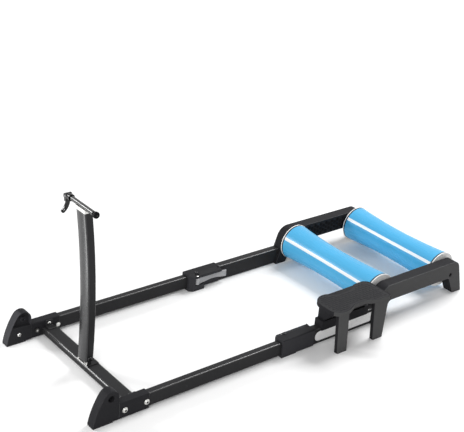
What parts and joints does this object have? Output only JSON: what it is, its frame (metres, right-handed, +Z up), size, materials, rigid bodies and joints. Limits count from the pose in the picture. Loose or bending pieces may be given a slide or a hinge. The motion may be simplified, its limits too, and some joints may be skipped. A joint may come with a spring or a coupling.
{
  "type": "bicycle rollers with fork stand",
  "caption": "Bicycle training rollers: two hourglass rollers between side arches on telescopic rails, a folding fork stand in front and a hook-on step.",
  "frame": {"origin": "on the floor, in the middle of the whole object's box in X and Y", "axes": "+X from the front feet and fork post back to the rear roller, -Y towards the side with the step, +Z up"},
  "size_m": [1.3726, 0.5422, 0.4959],
  "materials": {
    "black_powder_coat": "fine textured black powder coat",
    "satin_black_post": "satin charcoal powder coat",
    "gloss_black_metal": "gloss black lacquer",
    "zinc_plate": "bright zinc plating",
    "polished_steel": "ground steel",
    "dark_grey_plastic": "fine grained moulding",
    "black_plastic_knob": "glossy moulding",
    "grey_nylon": "satin filled nylon",
    "black_rubber": "matt rubber",
    "blue_roller": "smooth satin tube with a pale stripe along it",
    "pale_grey_plastic": "smooth moulding",
    "white_label": "plain satin film"
  },
  "bodies": {
    "base": {"outer_rail_near": "black_powder_coat", "outer_rail_far": "black_powder_coat", "arch_bracket_near": "dark_grey_plastic", "arch_bracket_far": "dark_grey_plastic", "clamp_housing_near": "dark_grey_plastic", "clamp_housing_far": "dark_grey_plastic", "clamp_pin_near": "zinc_plate", "clamp_pin_far": "zinc_plate", "clamp_pad_near": "black_rubber", "clamp_pad_far": "black_rubber", "label_plate": "white_label", "roller_axle_front": "polished_steel", "roller_axle_rear": "polished_steel", "axle_screw_front_near": "zinc_plate", "axle_screw_front_far": "zinc_plate", "axle_screw_rear_near": "zinc_plate", "axle_screw_rear_far": "zinc_plate"},
    "front_frame": {"inner_rail_near": "black_powder_coat", "inner_rail_far": "black_powder_coat", "rail_glide_near": "grey_nylon", "rail_glide_far": "grey_nylon", "rail_sleeve_near": "dark_grey_plastic", "rail_sleeve_far": "dark_grey_plastic", "foot_near": "dark_grey_plastic", "foot_far": "dark_grey_plastic", "foot_pad_near": "black_rubber", "foot_pad_far": "black_rubber", "foot_bolt_near": "zinc_plate", "foot_bolt_far": "zinc_plate", "sleeve_bolt_front_near": "zinc_plate", "sleeve_bolt_front_far": "zinc_plate", "sleeve_bolt_rear_near": "zinc_plate", "sleeve_bolt_rear_far": "zinc_plate", "corner_bracket_near": "black_powder_coat", "corner_bracket_far": "black_powder_coat", "corner_bolt_near": "zinc_plate", "corner_bolt_far": "zinc_plate", "crossbar": "black_powder_coat", "hinge_bracket": "zinc_plate", "hinge_bolt": "gloss_black_metal"},
    "fork_post": {"post": "satin_black_post", "fork_tube": "gloss_black_metal", "fork_tube_saddle": "zinc_plate", "skewer": "zinc_plate", "skewer_pin": "polished_steel"},
    "skewer_handle": {"skewer_lever": "gloss_black_metal"},
    "skewer_knob": {"skewer_nut": "black_plastic_knob"},
    "front_roller": {"roller_shell_front": "blue_roller", "roller_cap_front_near": "pale_grey_plastic", "roller_cap_front_far": "pale_grey_plastic", "bearing_front_near": "polished_steel", "bearing_front_far": "polished_steel"},
    "rear_roller": {"roller_shell_rear": "blue_roller", "roller_cap_rear_near": "pale_grey_plastic", "roller_cap_rear_far": "pale_grey_plastic", "bearing_rear_near": "polished_steel", "bearing_rear_far": "polished_steel"},
    "near_lever": {"clamp_lever_near": "grey_nylon"},
    "far_lever": {"clamp_lever_far": "grey_nylon"},
    "step_body": {"step": "dark_grey_plastic"}
  },
  "joints": [
    {"name": "rail_slide", "type": "slide", "parent": "base", "child": "front_frame", "axis": [1, 0, 0], "range_m": [-0.08, 0.185]},
    {"name": "post_fold", "type": "hinge", "parent": "front_frame", "child": "fork_post", "pos_m": [-0.56614, 0.03385, 0.0488], "axis": [0, 1, 0], "range_deg": [0, 88]},
    {"name": "skewer_lever_cam", "type": "hinge", "parent": "fork_post", "child": "skewer_handle", "pos_m": [-0.5841, 0.10485, 0.4864], "axis": [1, 0, 0], "range_deg": [0, 180]},
    {"name": "skewer_nut_thread", "type": "hinge", "parent": "fork_post", "child": "skewer_knob", "pos_m": [-0.5841, -0.01895, 0.4864], "axis": [0, 1, 0], "continuous": true},
    {"name": "front_roller_spin", "type": "hinge", "parent": "base", "child": "front_roller", "pos_m": [0.34335, 0.03385, 0.0706], "axis": [0, 1, 0], "continuous": true},
    {"name": "rear_roller_spin", "type": "hinge", "parent": "base", "child": "rear_roller", "pos_m": [0.62135, 0.03385, 0.0706], "axis": [0, 1, 0], "continuous": true},
    {"name": "near_clamp_lever", "type": "hinge", "parent": "base", "child": "near_lever", "pos_m": [-0.04715, -0.16315, 0.03], "axis": [0, 0, 1], "range_deg": [0, 110]},
    {"name": "far_clamp_lever", "type": "hinge", "parent": "base", "child": "far_lever", "pos_m": [-0.04715, 0.23085, 0.03], "axis": [0, 0, -1], "range_deg": [0, 110]},
    {"name": "step_lift", "type": "slide", "parent": "base", "child": "step_body", "axis": [0, 0, 1], "range_m": [0, 0.16]}
  ]
}
